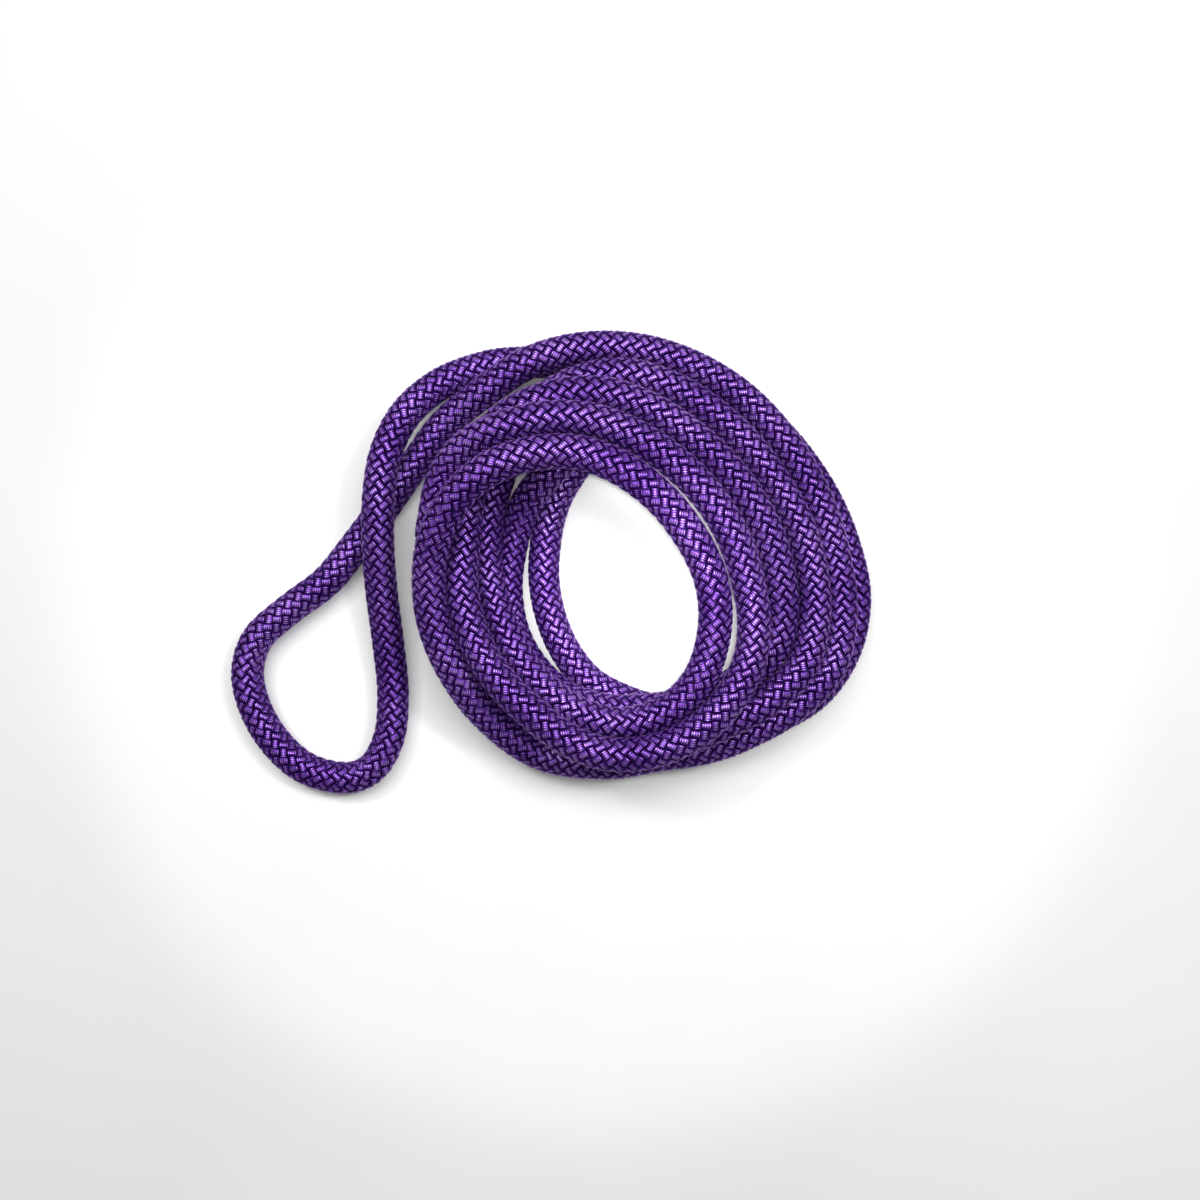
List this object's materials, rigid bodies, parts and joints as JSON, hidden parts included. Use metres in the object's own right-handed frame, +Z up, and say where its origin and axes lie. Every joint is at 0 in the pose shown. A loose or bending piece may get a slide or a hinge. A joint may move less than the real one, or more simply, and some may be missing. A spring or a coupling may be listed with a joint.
{
  "type": "dynamic climbing rope",
  "caption": "Braided kernmantle rope lying in a loose leaning coil with one bight drawn out to the side and both ends tucked inside.",
  "frame": {"origin": "middle of the bounding box at the floor the rope lies on", "axes": "+Z up from the floor; -X towards the drawn-out bight, +X towards the coil; +Y away from the bight's low side"},
  "size_m": [0.1922, 0.1364, 0.044],
  "materials": {
    "sheath": "matte",
    "core": "matte",
    "marker_tape": "matte",
    "end_sleeve": "matte",
    "fused_tip": "glossy"
  },
  "bodies": {
    "root": {"rope_coil": "sheath", "rope_bight": "sheath", "sheath_tail_a": "sheath", "core_strand_a_1": "core", "core_strand_a_2": "core", "core_strand_a_3": "core", "core_strand_a_4": "core", "core_strand_a_5": "core", "core_strand_a_6": "core", "core_strand_a_7": "core", "marker_tape_a": "marker_tape", "end_sleeve_a": "end_sleeve", "fused_tip_a": "fused_tip", "sheath_tail_b": "sheath", "core_strand_b_1": "core", "core_strand_b_2": "core", "core_strand_b_3": "core", "core_strand_b_4": "core", "core_strand_b_5": "core", "core_strand_b_6": "core", "core_strand_b_7": "core", "marker_tape_b": "marker_tape", "end_sleeve_b": "end_sleeve", "fused_tip_b": "fused_tip"}
  },
  "joints": []
}
